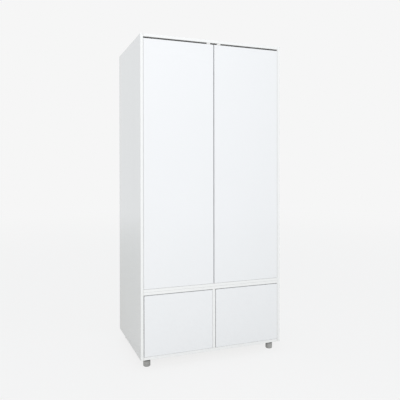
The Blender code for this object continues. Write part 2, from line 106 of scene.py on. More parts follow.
class Sheet:
    # the nodes of one finish: node() makes any of them, and the rest are short forms of it
    def __init__(self, tree):
        self.tree = tree
        self.tree.nodes.clear()

    def node(self, kind, settings=None, sockets=None, output=0):
        made = self.tree.nodes.new(kind)
        for key, value in (settings or {}).items():
            setattr(made, key, value)
        for key, value in (sockets or {}).items():
            target = made.inputs[key]
            if isinstance(value, Wire):
                self.tree.links.new(value.socket, target)
            else:
                target.default_value = (*value, 1.0) if target.type == "RGBA" else value
        return Wire(self, made.outputs[output]) if made.outputs else None

    def places(self):
        return self.node("ShaderNodeTexCoord", output="Object")

    def stretch(self, vector, by):
        return self.node("ShaderNodeVectorMath", {"operation": "MULTIPLY"}, {0: vector, 1: by})

    def noise(self, vector, scale):
        return self.node("ShaderNodeTexNoise", None, {"Vector": vector, "Scale": scale})

    def cells(self, vector, scale, feature="F1"):
        return self.node("ShaderNodeTexVoronoi", {"feature": feature}, {"Vector": vector, "Scale": scale})

    def colour(self, factor, first, second):
        sockets = {0: factor, 6: first, 7: second}        # numbers of the Mix node's colour sockets
        return self.node("ShaderNodeMix", {"data_type": "RGBA"}, sockets, output=2)

    def rise(self, value, start, end):
        settings = {"interpolation_type": "SMOOTHSTEP", "clamp": True}
        sockets = {"Value": value, "From Min": start, "From Max": end}
        return self.node("ShaderNodeMapRange", settings, sockets)

    def bump(self, height):
        return self.node("ShaderNodeBump", None, {"Height": height, "Distance": 1.0, "Strength": 1.0})

    def surface(self, **sockets):
        named = {key.replace("_", " "): value for key, value in sockets.items()}
        self.finishWith(self.node("ShaderNodeBsdfPrincipled", None, named))

    def finishWith(self, shader):
        self.node("ShaderNodeOutputMaterial", None, {"Surface": shader})


def newFinish(name):
    material = bpy.data.materials.new(name)
    material.use_nodes = True
    return material, Sheet(material.node_tree)


noiseMiddle = 0.5        # mean level of a noise texture


def blendValue(mask, first, second):
    return mask * (second - first) + first


def nodeBox(name):
    low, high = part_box(name)
    return np.array(low), np.array(high)


def nodePoints(name):
    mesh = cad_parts[name].data
    places = np.empty(len(mesh.vertices) * 3, np.float32)
    mesh.vertices.foreach_get("co", places)
    return places.reshape(-1, 3)


def dress(name, material):
    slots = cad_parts[name].data.materials
    slots.clear()
    slots.append(material)


# Particle board, raw where no band covers it

coreLook = {
    "colour": (0.520, 0.390, 0.255),
    "chip": (0.300, 0.205, 0.120),
    "roughness": 0.85,
    "depth": 0.0002,
    "chipScale": 420.0,
}


def coreColour(sheet, places):
    return sheet.colour(sheet.cells(places, coreLook["chipScale"]), coreLook["chip"], coreLook["colour"])


# Boards: lacquered faces, satin faces inside, banded edges

boardLook = {
    "glossColour": (0.846, 0.866, 0.888),
    "glossTint": (0.822, 0.840, 0.860),
    "satinColour": (0.815, 0.815, 0.805),
    "satinTint": (0.785, 0.783, 0.770),
    "bandColour": (0.856, 0.872, 0.874),
    "seamColour": (0.640, 0.640, 0.630),
    "glossRoughness": 0.10,
    "satinRoughness": 0.42,
    "coatWeight": 0.35,
    "coatRoughness": 0.05,
    "bandDepth": 0.0009,       # thickness of the edge band
    "seamHalf": 0.0002,
    "seamShare": 0.6,
    "tintScale": 1.6,
    "smudgeScale": 9.0,
    "smudgeDepth": 0.05,
    "peelScale": 240.0,        # orange peel of the lacquer
    "peelHeight": 0.0000025,
    "grainScale": 950.0,       # fine print of the satin face
    "grainHeight": 0.00001,
}

wholeSkin = ("left", "right", "front", "top", "bottom")
boardFaces = {
    f"{hand}_side_panel": {"gloss": (hand, "front", "top"), "band": ("front",), "core": ("rear", "bottom")}
    for hand in hands
}
boardFaces |= {
    "top_panel": {"gloss": ("front", "top"), "band": ("front",), "core": ("left", "right", "rear")},
    "drawer_divider": {"gloss": ("front",), "band": ("front",), "core": ("top", "bottom", "rear")},
}
for boardName in ("bottom_panel", "wardrobe_floor_panel", "drawer_bay_top_panel"):
    boardFaces[boardName] = {"gloss": ("front",), "band": ("front",), "core": ("left", "right", "rear")}
for boardName in ("left_door", "right_door", "left_drawer_front", "right_drawer_front"):
    boardFaces[boardName] = {"gloss": wholeSkin, "band": (), "core": ()}
faceSides = {
    "left": (0, 0), "right": (0, 1), "front": (1, 0), "rear": (1, 1), "bottom": (2, 0), "top": (2, 1),
}


def faceDepth(axes, box, face):
    # how deep under that face of the box a place lies
    axis, end = faceSides[face]
    edge = float(box[end][axis])
    return axes[axis] - edge if end == 0 else edge - axes[axis]


def nearFaces(axes, box, faces, depth):
    # 1 within that depth of any of the faces, 0 elsewhere
    masks = [faceDepth(axes, box, face) < depth for face in faces]
    return functools.reduce(operator.or_, masks, 0.0)


def edgeDistance(axes, box):
    # how far a place on the board's broad faces lies from the nearest edge
    thin = int(np.argmin(box[1] - box[0]))
    faces = [face for face, (axis, _) in faceSides.items() if axis != thin]
    return functools.reduce(operator.and_, [faceDepth(axes, box, face) for face in faces])


def boardFinish(name, faces):
    look = boardLook
    box = nodeBox(name)
    material, sheet = newFinish(f"{name}_finish")
    places = sheet.places()
    axes = places.parts()
    gloss = nearFaces(axes, box, faces["gloss"], look["bandDepth"])
    band = nearFaces(axes, box, faces["band"], look["bandDepth"])
    core = nearFaces(axes, box, faces["core"], coreLook["depth"])
    seam = abs(edgeDistance(axes, box) - look["bandDepth"]) < look["seamHalf"]

    tint = sheet.noise(places, look["tintScale"])
    lacquer = sheet.colour(tint, look["glossColour"], look["glossTint"])
    satin = sheet.colour(tint, look["satinColour"], look["satinTint"])
    skin = sheet.colour(gloss, satin, lacquer)
    skin = sheet.colour(band, skin, look["bandColour"])
    skin = sheet.colour(seam * look["seamShare"], skin, look["seamColour"])
    skin = sheet.colour(core, skin, coreColour(sheet, places))

    smudge = (sheet.noise(places, look["smudgeScale"]) - noiseMiddle) * look["smudgeDepth"]
    roughness = blendValue(gloss, look["satinRoughness"], look["glossRoughness"]) + smudge
    peel = sheet.noise(places, look["peelScale"]) * look["peelHeight"]
    grain = sheet.noise(places, look["grainScale"]) * look["grainHeight"]
    sheet.surface(
        Base_Color=skin,
        Roughness=core * coreLook["roughness"] | roughness,
        Coat_Weight=gloss * look["coatWeight"],
        Coat_Roughness=look["coatRoughness"],
        Normal=sheet.bump(blendValue(gloss, grain, peel) - seam * look["grainHeight"]),
    )
    return material


for boardName, faces in boardFaces.items():
    dress(boardName, boardFinish(boardName, faces))
print("boards finished:", len(boardFaces))


# Drawer boxes: satin wrapped walls

wallLook = {
    "colour": (0.800, 0.798, 0.785),
    "tint": (0.770, 0.766, 0.750),
    "roughness": 0.46,
    "wear": 0.06,
    "tintScale": 5.0,
    "grainScale": 800.0,
    "grainHeight": 0.000014,
}


def wallFinish(name):
    look = wallLook
    material, sheet = newFinish(f"{name}_finish")
    places = sheet.places()
    core = nearFaces(places.parts(), nodeBox(name), ("bottom",), coreLook["depth"])
    skin = sheet.colour(sheet.noise(places, look["tintScale"]), look["colour"], look["tint"])
    grain = sheet.noise(places, look["grainScale"])
    sheet.surface(
        Base_Color=sheet.colour(core, skin, coreColour(sheet, places)),
        Roughness=grain * look["wear"] + look["roughness"],
        Normal=sheet.bump(grain * look["grainHeight"]),
    )
    return material


drawerWalls = [f"{hand}_drawer_{part}" for hand in hands for part in ("left_wall", "right_wall", "back")]
for wallName in drawerWalls:
    dress(wallName, wallFinish(wallName))
print("drawer walls finished:", len(drawerWalls))


# Hardboard: white printed on the face that shows inside, brown with a wire-mesh print behind

hardboardLook = {
    "white": (0.780, 0.778, 0.765),
    "whiteTint": (0.750, 0.745, 0.728),
    "brown": (0.330, 0.215, 0.125),
    "brownPale": (0.372, 0.250, 0.151),
    "brownFibre": (0.215, 0.130, 0.070),
    "whiteRoughness": 0.48,
    "brownRoughness": 0.82,
    "fibreWear": 0.05,
    "fibreScale": 190.0,
    "fibreLeast": 0.25,        # share of dark fibre in the thin patches and in the thick ones
    "fibreMost": 0.75,
    "mottleScale": 14.0,
    "cloudScale": 2.6,         # broad pale clouds over the brown face
    "cloudFrom": 0.38,
    "cloudTo": 0.66,
    "meshPitch": 0.0022,
    "meshHeight": 0.00003,
}
hardboardFaces = {"back_panel": "front", "left_drawer_bottom": "top", "right_drawer_bottom": "top"}


def hardboardFinish(name, whiteFace):
    look = hardboardLook
    box = nodeBox(name)
    thin = int(np.argmin(box[1] - box[0]))
    material, sheet = newFinish(f"{name}_finish")
    places = sheet.places()
    axes = places.parts()
    white = faceDepth(axes, box, whiteFace) < float(box[1][thin] - box[0][thin]) / 2
    mottle = sheet.noise(places, look["mottleScale"])
    fibre = sheet.noise(places, look["fibreScale"])
    cloud = sheet.rise(sheet.noise(places, look["cloudScale"]), look["cloudFrom"], look["cloudTo"])
    brown = sheet.colour(cloud, look["brown"], look["brownPale"])
    darkShare = blendValue(mottle, look["fibreLeast"], look["fibreMost"]) * fibre
    brown = sheet.colour(darkShare, brown, look["brownFibre"])
    pale = sheet.colour(mottle, look["white"], look["whiteTint"])
    waveRate = 2 * math.pi / look["meshPitch"]
    waves = [(axes[axis] * waveRate).sine() for axis in range(3) if axis != thin]
    mesh = functools.reduce(operator.mul, waves)
    roughness = blendValue(white, look["brownRoughness"], look["whiteRoughness"])
    sheet.surface(
        Base_Color=sheet.colour(white, brown, pale),
        Roughness=roughness + fibre * look["fibreWear"],
        Normal=sheet.bump((1 - white) * (mesh + fibre) * look["meshHeight"]),
    )
    return material


for boardName, whiteFace in hardboardFaces.items():
    dress(boardName, hardboardFinish(boardName, whiteFace))
print("hardboard finished:", len(hardboardFaces))


# Metals and plastics, each with the slot of the record that it belongs to

metalLooks = {
    "footMetal": {
        "slot": "foot_metal", "colour": (0.482, 0.489, 0.485), "tint": (0.391, 0.397, 0.393),
        "metallic": 0.5, "roughness": 0.34, "wear": 0.12,        # silver lacquer on the steel
        "stretch": (5.0, 5.0, 1500.0), "height": 0.000003, "mottleScale": 40.0,
    },
    "railChrome": {
        "slot": "rail_chrome", "colour": (0.780, 0.785, 0.790), "tint": (0.700, 0.705, 0.710),
        "metallic": 1.0, "roughness": 0.08, "wear": 0.07,
        "stretch": (6.0, 700.0, 700.0), "height": 0.0000006, "mottleScale": 25.0,
    },
    "platedSteel": {
        "slot": "plated_steel", "colour": (0.640, 0.640, 0.630), "tint": (0.500, 0.505, 0.510),
        "metallic": 1.0, "roughness": 0.32, "wear": 0.12,
        "stretch": (900.0,) * 3, "height": 0.000003, "mottleScale": 160.0,
    },
    "screwSteel": {
        "slot": "plated_steel", "colour": (0.600, 0.590, 0.560), "tint": (0.440, 0.430, 0.400),
        "metallic": 1.0, "roughness": 0.28, "wear": 0.14,
        "stretch": (1400.0,) * 3, "height": 0.000002, "mottleScale": 300.0,
    },
}
plasticLooks = {
    "whitePlastic": {
        "slot": "white_plastic", "colour": (0.860, 0.862, 0.858), "tint": (0.825, 0.825, 0.815),
        "roughness": 0.38, "wear": 0.08,
    },
    "greyPlastic": {
        "slot": "grey_plastic", "colour": (0.400, 0.402, 0.405), "tint": (0.330, 0.332, 0.335),
        "roughness": 0.46, "wear": 0.10,
    },
    # near-black collar at the top of each foot: painted shade where the case above shadows the foot
    "paintedShadeCollarPlastic": {
        "slot": "grey_plastic", "colour": (0.060, 0.060, 0.062), "tint": (0.085, 0.085, 0.087),
        "roughness": 0.50, "wear": 0.10,
    },
    "blackPlastic": {
        "slot": "grey_plastic", "colour": (0.030, 0.030, 0.031), "tint": (0.050, 0.050, 0.051),
        "roughness": 0.55, "wear": 0.12,
    },
}
mouldGrain = {"scale": 1300.0, "height": 0.000012, "cloudScale": 32.0}


def metalFinish(name, look):
    # drawn or turned lines come from noise squeezed along the working direction
    material, sheet = newFinish(name)
    places = sheet.places()
    lines = sheet.noise(sheet.stretch(places, look["stretch"]), 1.0)
    mottle = sheet.cells(places, look["mottleScale"], "SMOOTH_F1")
    sheet.surface(
        Base_Color=sheet.colour(mottle, look["colour"], look["tint"]),
        Metallic=look["metallic"],
        Roughness=lines * look["wear"] + look["roughness"],
        Normal=sheet.bump(lines * look["height"]),
    )
    return material


def plasticFinish(name, look):
    material, sheet = newFinish(name)
    places = sheet.places()
    grain = sheet.noise(places, mouldGrain["scale"])
    cloud = sheet.noise(places, mouldGrain["cloudScale"])
    sheet.surface(
        Base_Color=sheet.colour(cloud, look["colour"], look["tint"]),
        Roughness=grain * look["wear"] + look["roughness"],
        Normal=sheet.bump(grain * mouldGrain["height"]),
    )
    return material


finishes = {name: metalFinish(name, look) for name, look in metalLooks.items()}
finishes.update({name: plasticFinish(name, look) for name, look in plasticLooks.items()})
slotNames = {name: look["slot"] for name, look in (metalLooks | plasticLooks).items()}

for hand in hands:
    dress(f"{hand}_latch_body", finishes["whitePlastic"])
print("metals and plastics finished:", len(finishes))


# Surfaces worked out on grids: a shape is its points, its quads and its triangles

gridLook = {"filletSteps": 4, "cornerSteps": 6, "edgeSteps": 4, "sharpDegrees": 38.0, "upright": 0.9}


def filleted(corners, radius):
    # every corner between the two ends becomes a short parabola that begins and ends one radius from it
    points = np.array(corners, float)
    reach = np.broadcast_to(radius, len(points) - 2)[:, None]
    before = points[:-2] - points[1:-1]
    after = points[2:] - points[1:-1]
    start = points[1:-1] + reach * before / np.linalg.norm(before, axis=1, keepdims=True)
    end = points[1:-1] + reach * after / np.linalg.norm(after, axis=1, keepdims=True)
    t = np.linspace(0, 1, gridLook["filletSteps"])[None, :, None]
    curve = (1 - t) ** 2 * start[:, None] + 2 * t * (1 - t) * points[1:-1, None] + t**2 * end[:, None]
    return np.vstack([points[:1], curve.reshape(-1, 2), points[-1:]])


def ringQuads(rows, steps, wrap):
    # quads between neighbouring rings; where the profile closes on itself, the last ring meets the first
    row = np.arange(rows if wrap else rows - 1)[:, None]
    column = np.arange(steps)[None, :]
    near, far = row * steps, (row + 1) % rows * steps
    beside = (column + 1) % steps
    return np.stack([near + column, near + beside, far + beside, far + column], -1).reshape(-1, 4)


def capped(rings, ends):
    # rings joined into a skin, the first and the last closed by a fan to an end point
    rows, steps = rings.shape[:2]
    column = np.arange(steps)
    beside = (column + 1) % steps
    last = (rows - 1) * steps
    lower = np.stack([np.full(steps, rows * steps), beside, column], -1)
    upper = np.stack([np.full(steps, rows * steps + 1), last + column, last + beside], -1)
    points = np.vstack([rings.reshape(-1, 3), ends])
    return points, ringQuads(rows, steps, wrap=False), np.vstack([lower, upper])


def turned(profile, steps, sink=None):
    # grid of profile point and angle: radius goes round the axis, height along it, less the sink there;
    # a profile that starts on the axis has a pole at each end, and any other closes on itself
    radius, height = np.array(profile, float).T[:, :, None]
    angle = np.arange(steps) * (2 * np.pi / steps)
    x, y = radius * np.cos(angle), radius * np.sin(angle)
    z = height - (sink(x, y, height) if sink else np.zeros_like(x))
    rings = np.stack([x, y, z], -1)
    if radius[0] > 0:
        return rings.reshape(-1, 3), ringQuads(len(rings), steps, wrap=True), np.empty((0, 3), int)
    return capped(rings[1:-1], rings[[0, -1], 0])


def roundedOutline(halfWide, halfLong, corner, inset):
    # four quarter circles, counter-clockwise, about the corners' centres; the inset shrinks them evenly
    side = np.array([[1, 1], [-1, 1], [-1, -1], [1, -1]])[:, :, None]
    angle = (np.arange(4)[:, None] + np.linspace(0, 1, gridLook["cornerSteps"])) * (np.pi / 2)
    x = side[:, 0] * (halfWide - corner) + (corner - inset) * np.cos(angle)
    y = side[:, 1] * (halfLong - corner) + (corner - inset) * np.sin(angle)
    return x.reshape(len(x), -1), y.reshape(len(y), -1)


def plateShape(halfWide, halfLong, corner, thick, edgeRound):
    # outline carried up from the foot, then inwards over the top edge as a quarter circle
    t = np.linspace(0, np.pi / 2, gridLook["edgeSteps"])
    inset = np.append(0, edgeRound * (1 - np.cos(t)))
    height = np.append(0, thick - edgeRound * (1 - np.sin(t)))
    x, y = roundedOutline(halfWide, halfLong, corner, inset[:, None, None])
    rings = np.stack([x, y, np.broadcast_to(height[:, None], x.shape)], -1)
    return capped(rings, [(0, 0, 0), (0, 0, thick)])


def joined(*shapes):
    # several shapes as one, their point numbers moved on
    starts = np.cumsum([0] + [len(points) for points, _, _ in shapes[:-1]])
    return tuple(
        np.vstack([shape[part] + (start if part else 0) for shape, start in zip(shapes, starts)])
        for part in range(3)
    )


def repeated(copies, quads, triangles):
    # the same skin over each copy's points
    shift = (np.arange(len(copies)) * copies.shape[1])[:, None, None]
    return copies.reshape(-1, 3), (quads + shift).reshape(-1, 4), (triangles + shift).reshape(-1, 3)


def placed(shape, centres, axes, spins=None):
    # copies of one shape, its z laid along each axis, its foot at each centre, turned by each spin
    points, quads, triangles = shape
    centres = np.atleast_2d(np.array(centres, float))
    third = np.broadcast_to(np.array(axes, float), centres.shape)
    helper = np.where(np.abs(third[:, 2:]) > gridLook["upright"], [[1.0, 0, 0]], [[0, 0, 1.0]])
    first = np.cross(helper, third)
    second = np.cross(third, first)
    spin = np.zeros((len(centres), 1)) if spins is None else spins[:, None]
    across = np.cos(spin) * first + np.sin(spin) * second
    along = np.cos(spin) * second - np.sin(spin) * first
    turns = np.stack([across, along, third], 1)
    return repeated(np.einsum("pk,nkc->npc", points, turns) + centres[:, None], quads, triangles)


def addPiece(name, shape, finish, body, replaced=()):
    points, quads, triangles = shape
    mesh = bpy.data.meshes.new(name)
    mesh.from_pydata(points.tolist(), [], quads.tolist() + triangles.tolist())
    mesh.shade_smooth()
    mesh.set_sharp_from_angle(angle=math.radians(gridLook["sharpDegrees"]))
    mesh.materials.append(finishes[finish])
    piece = bpy.data.objects.new(name, mesh)
    bpy.context.scene.collection.objects.link(piece)
    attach(piece, body)
    if replaced:
        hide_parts(*replaced)


def roundSection(radius, low, high, edgeRound, steps):
    # solid of revolution between two levels, its two rims rounded over
    corners = [(0, low), (radius, low), (radius, high), (0, high)]
    return turned(filleted(corners, edgeRound), steps)


def evenly(start, end, pitch):
    return np.linspace(start, end, int(round((end - start) / pitch)) + 1)


# Feet: a turned metal sleeve between a black glide and a dark collar; the collar's near-black is painted
# shade from the case above

footLook = {
    "steps": 96, "sleeveRound": 0.0012,
    "glideHeight": 0.0020, "glideInset": 0.0022, "glideRound": 0.0007,
    "collarHeight": 0.0180, "collarInset": 0.0010, "collarRound": 0.0006,
}


def makeFeet():
    look = footLook
    steps = look["steps"]
    bases = []
    for row in ("front", "rear"):
        for hand in hands:
            nodeName = f"{row}_{hand}_foot"
            low, high = nodeBox(nodeName)
            centre = (low + high) / 2
            radius = (high[0] - low[0]) / 2
            collarLow = high[2] - look["collarHeight"]
            base = (centre[0], centre[1], low[2])
            sleeve = roundSection(radius, look["glideHeight"], collarLow, look["sleeveRound"], steps)
            addPiece(f"{nodeName}_sleeve", placed(sleeve, base, upwards), "footMetal", "case", [nodeName])
            bases.append(base)
    # the four feet are alike, so the last one gives the sizes here
    glide = roundSection(radius - look["glideInset"], 0, look["glideHeight"], look["glideRound"], steps)
    collar = roundSection(radius - look["collarInset"], collarLow, high[2], look["collarRound"], steps)
    addPiece("foot_glides", placed(glide, bases, upwards), "blackPlastic", "case")
    # the dark collars paint the case's shade onto the top of each foot
    addPiece("foot_painted_shade_collars", placed(collar, bases, upwards), "paintedShadeCollarPlastic", "case")


makeFeet()
print("feet made")


# Hanging rail and its sockets

railLook = {
    "steps": 72, "wall": 0.0012, "edgeRound": 0.0009,
    "flange": 0.0030, "collarWall": 0.0030, "play": 0.0003,        # of the sockets
}


def makeRail():
    look = railLook
    low, high = nodeBox("hanging_rail")
    radius = (high[2] - low[2]) / 2
    inner = radius - look["wall"]
    length = high[0] - low[0]
    level = (low + high) / 2
    tube = turned([(radius, 0), (radius, length), (inner, length), (inner, 0)], look["steps"])
    tube = placed(tube, (low[0], level[1], level[2]), (1, 0, 0))
    addPiece("hanging_rail_tube", tube, "railChrome", "case", ["hanging_rail"])
    for hand, sign in hands.items():
        nodeName = f"{hand}_rail_socket"
        low, high = nodeBox(nodeName)
        edge = (high[2] - low[2]) / 2
        depth = high[0] - low[0]
        bore = radius + look["play"]
        collar = bore + look["collarWall"]
        flange = look["flange"]
        corners = [
            (0, 0), (edge, 0), (edge, flange), (collar, flange),
            (collar, depth), (bore, depth), (bore, flange), (0, flange),
        ]
        wall = (low if sign < 0 else high)[0]
        socket = turned(filleted(corners, look["edgeRound"]), look["steps"])
        socket = placed(socket, (wall, level[1], level[2]), (-sign, 0, 0))
        addPiece(f"{nodeName}_cup", socket, "railChrome", "case", [nodeName])


makeRail()
print("rail made")


# Push latches: a stepped plunger, a collar round it and a dimpled strike

latchLook = {
    "steps": 48, "edgeRound": 0.0002, "grooveFrom": 0.0050, "grooveTo": 0.0062, "grooveDepth": 0.0006,
    "collarWall": 0.0026, "collarHeight": 0.0012, "collarPlay": 0.0005,
    "strikeRound": 0.0004, "dimpleOuter": 0.0026, "dimpleInner": 0.0012, "dimpleFloor": 0.0004,
}


def makeLatches():
    look = latchLook
    collarPlaces = []
    for hand in hands:
        nodeName = f"{hand}_latch_plunger"
        low, high = nodeBox(nodeName)
        centre = (low + high) / 2
        radius = (high[0] - low[0]) / 2
        length = high[1] - low[1]
        waist = radius - look["grooveDepth"]
        near, far = look["grooveFrom"], look["grooveTo"]
        corners = [
            (0, 0), (radius, 0), (radius, near), (waist, near),
            (waist, far), (radius, far), (radius, length), (0, length),
        ]
        pin = turned(filleted(corners, look["edgeRound"]), look["steps"])
        pin = placed(pin, (centre[0], low[1], centre[2]), rearwards)
        addPiece(f"{hand}_plunger_pin", pin, "greyPlastic", f"{hand}_plunger", [nodeName])

        body = nodePoints(f"{hand}_latch_body")
        houseFront = body[body[:, 2] < centre[2], 1].min()
        collarPlaces.append((centre[0], houseFront, centre[2]))

        nodeName = f"{hand}_strike_plate"
        low, high = nodeBox(nodeName)
        rim = (high[0] - low[0]) / 2
        thick = high[1] - low[1]
        floor = look["dimpleFloor"]
        corners = [
            (0, 0), (rim, 0), (rim, thick),
            (look["dimpleOuter"], thick), (look["dimpleInner"], floor), (0, floor),
        ]
        strike = turned(filleted(corners, look["strikeRound"]), look["steps"])
        strike = placed(strike, (centre[0], low[1], centre[2]), rearwards)
        addPiece(f"{hand}_strike_disc", strike, "platedSteel", f"{hand}_door", [nodeName])
    # both plungers are alike, so the last one gives the size of the collars
    inner = radius + look["collarPlay"]
    outer = inner + look["collarWall"]
    height = look["collarHeight"]
    ring = turned([(outer, 0), (outer, height), (inner, height), (inner, 0)], look["steps"])
    addPiece("latch_collars", placed(ring, collarPlaces, forwards), "whitePlastic", "case")


makeLatches()
print("latches made")


# Drawer runners: a channel on the case and a hat on the drawer, each bent from one sheet

runnerLook = {"sheet": 0.0012, "lip": 0.0055, "bend": 0.0018}


def bentSheet(corners, start, end):
    # the bent line, half the sheet wider to either side, carried along the depth; strips close its ends
    line = filleted(corners, runnerLook["bend"])
    along = np.gradient(line, axis=0)
    across = along[:, ::-1] * (-1, 1) / np.linalg.norm(along, axis=1, keepdims=True)
    across *= runnerLook["sheet"] / 2
    outline = np.vstack([line + across, (line - across)[::-1]])
    steps = len(outline)
    depth = np.repeat([start, end], steps)
    points = np.stack([np.tile(outline[:, 0], 2), depth, np.tile(outline[:, 1], 2)], -1)
    near = np.arange(len(line) - 1)
    far = steps - 1 - near
    cap = np.stack([near, far, far - 1, near + 1], -1)
    quads = np.vstack([ringQuads(2, steps, wrap=False), cap, cap[:, ::-1] + steps])
    return points, quads, np.empty((0, 3), int)


def runnerShape(nodeName, member, sign):
    # the upper half of the section as (out from the bay's wall, up from the middle), and its mirror image
    look = runnerLook
    low, high = nodeBox(nodeName)
    level = (low[2] + high[2]) / 2
    half = high[2] - level
    near, far = look["sheet"] / 2, high[0] - low[0] - look["sheet"] / 2
    if member == "case":
        bend = half - look["sheet"] / 2
        upper = [(near, bend), (far, bend), (far, half - look["lip"])]
    else:
        bend = half - look["lip"] + look["sheet"] / 2
        upper = [(far, bend), (near, bend), (near, half)]
    lower = [(out, -up) for out, up in reversed(upper)]
    points, quads, triangles = bentSheet(lower + upper, low[1], high[1])
    points = points * (-sign, 1, 1) + ((low if sign < 0 else high)[0], 0, level)
    return points, quads if sign < 0 else quads[:, ::-1], triangles


def makeRunners():
    for hand in hands:
        for side, sign in hands.items():
            for member, body in (("case", "case"), ("drawer", f"{hand}_drawer")):
                nodeName = f"{hand}_drawer_{side}_{member}_runner"
                sheet = runnerShape(nodeName, member, sign)
                addPiece(f"{nodeName}_sheet", sheet, "platedSteel", body, [nodeName])


makeRunners()
print("runners made")


# Screws: a domed head with a cross sunk into it, one mesh for each group

screwLook = {
    "radius": 0.0036, "height": 0.0019, "skirt": 0.0006, "steps": 40, "rows": 12, "crossReach": 0.68,
    "crossHalf": 0.17, "crossSoft": 0.10, "crossDepth": 0.0010, "seed": 11,
}
spinDraws = np.random.default_rng(screwLook["seed"])


def domeProfile(radius, skirt, height, rows):
    # flat foot, then a dome over the skirt: radius falls as a cosine and height grows as a sine
    t = np.linspace(0, np.pi / 2, rows)
    dome = np.stack([radius * np.cos(t), skirt + (height - skirt) * np.sin(t)], -1)
    dome[-1, 0] = 0
    foot = [(0, 0), (radius, 0)] if skirt else [(0, 0)]
    return np.vstack([foot, dome])


def screwShape():
    # the cross is sunk where either of its arms covers the place, with a soft slope at its edge
    look = screwLook

    def covers(distance, limit):
        soft = look["crossSoft"] / 2
        return np.interp(np.abs(distance) / look["radius"], [limit - soft, limit + soft], [1, 0])

    def arm(across, along):
        return covers(across, look["crossHalf"]) * covers(along, look["crossReach"])

    def cross(x, y, height):
        return np.maximum(arm(x, y), arm(y, x)) * look["crossDepth"] * (height > 0)

    profile = domeProfile(look["radius"], look["skirt"], look["height"], look["rows"])
    return turned(profile, look["steps"], cross)


def addScrews(name, centres, axes, body):
    spins = spinDraws.uniform(0, np.pi / 2, len(centres))
    addPiece(name, placed(screwShape(), centres, axes, spins), "screwSteel", body)


# Hinges, in places (along the door from its outer edge, inwards from its front, up from the hinge's level)

hingeLook = {
    "steps": 72, "play": 0.0003, "edgeRound": 0.0005,
    "cupRadius": 0.0175, "cupEdge": 0.005, "cupDepth": 0.0115, "cupWall": 0.0012, "rimReach": 0.002,
    "rimDrop": 0.0002, "baseRound": 0.0028, "floorRound": 0.0018, "rimRound": 0.0004,
    "wingWidth": 0.0155, "wingLength": 0.060, "wingNear": 0.0393, "wingCorner": 0.005, "wingScrew": 0.022,
    "linkStep": 0.0051, "linkRoot": 0.0003, "linkCorner": 0.0009, "linkSteps": 28,
    "armGap": 0.0006, "armLength": 0.060, "armDepth": 0.013, "armTail": 0.0051, "armHeight": 0.018,
    "armShoulder": 0.0032, "armEnd": 0.0008, "armNear": 0.020, "armFar": 0.040,
    "noseDepth": 0.0098, "noseReach": 0.004, "noseCorner": 0.001,
    "plateLow": -0.0009, "plateBase": 0.0021, "plateTop": 0.0036, "plateOffset": 0.012,
    "plateLength": 0.032, "plateHeight": 0.050, "plateCorner": 0.004, "plateRound": 0.0009,
    "plateScrew": 0.017,
}


def hingeOrigins(hand):
    # the door's outer front edge at the level of each hinge, and the way in which each measure runs
    low, high = nodeBox(f"{hand}_door")
    edge = (low if hands[hand] < 0 else high)[0]
    levels = [np.mean(nodeBox(f"{hand}_hinge_link_{place}"), 0)[2] for place in hingePlaces]
    return np.array([(edge, low[1], level) for level in levels]), np.array([-hands[hand], 1, 1])


def atHinges(shape, hand):
    # a copy at each hinge of the door; the right hand mirrors the shape, so its faces are turned round
    points, quads, triangles = shape
    origins, ways = hingeOrigins(hand)
    if ways[0] < 0:
        quads, triangles = quads[:, ::-1], triangles[:, ::-1]
    return repeated(origins[:, None] + points * ways, quads, triangles)


def hingeSpots(spots, hand):
    origins, ways = hingeOrigins(hand)
    return (origins[:, None] + np.array(spots) * ways).reshape(-1, 3)


def linkSizes():
    # radii, first and last angle and half height of the middle link, about the door's axis
    low, high = nodeBox("left_hinge_link_lower")
    along, inwards, _ = (nodePoints("left_hinge_link_lower") - hingeOrigins("left")[0][0]).T
    radius, angle = np.hypot(along, inwards), np.arctan2(inwards, along)
    return radius.min(), radius.max(), angle.min(), angle.max(), (high[2] - low[2]) / 2


def linkShape(start, end, level):
    # rounded section carried along an arc about the door's axis, from the end back to the start
    inner, outer, _, _, half = linkSizes()
    wide, up = roundedOutline((outer - inner) / 2, half, hingeLook["linkCorner"], np.zeros((1, 1, 1)))
    angle = np.linspace(end, start, hingeLook["linkSteps"])[:, None]
    radius = (inner + outer) / 2 + np.append(wide, 0)
    up = level + np.append(up, 0)
    grid = np.stack(np.broadcast_arrays(radius * np.cos(angle), radius * np.sin(angle), up), -1)
    return capped(grid[:, :-1], grid[[0, -1], -1])


def cupShape(thick):
    # turned shell in the door's bore, a wing for its screws and the outer link
    look = hingeLook
    radius, wall = look["cupRadius"], look["cupWall"]
    base, rimLow = thick - look["cupDepth"], thick + look["play"]
    floor, rimHigh = base + wall, rimLow + wall
    rim = radius + look["rimReach"]
    lip = rimHigh - look["rimDrop"]
    corners = [
        (0, base), (radius, base), (radius, rimLow), (rim, rimLow),
        (rim, lip), (radius - wall, lip), (radius - wall, floor), (0, floor),
    ]
    rounds = [look["baseRound"], *[look["rimRound"]] * 4, look["floorRound"]]
    shell = turned(filleted(corners, rounds), look["steps"])
    shell = placed(shell, (look["cupEdge"] + radius, 0, 0), rearwards)
    half = look["wingWidth"] / 2
    wing = plateShape(half, look["wingLength"] / 2, look["wingCorner"], wall, look["edgeRound"])
    wing = placed(wing, (look["wingNear"] + half, rimLow, 0), rearwards)
    inner, _, _, end, _ = linkSizes()
    root = math.asin((base + look["linkRoot"]) / inner)
    return joined(shell, wing, linkShape(root, end, look["linkStep"]))


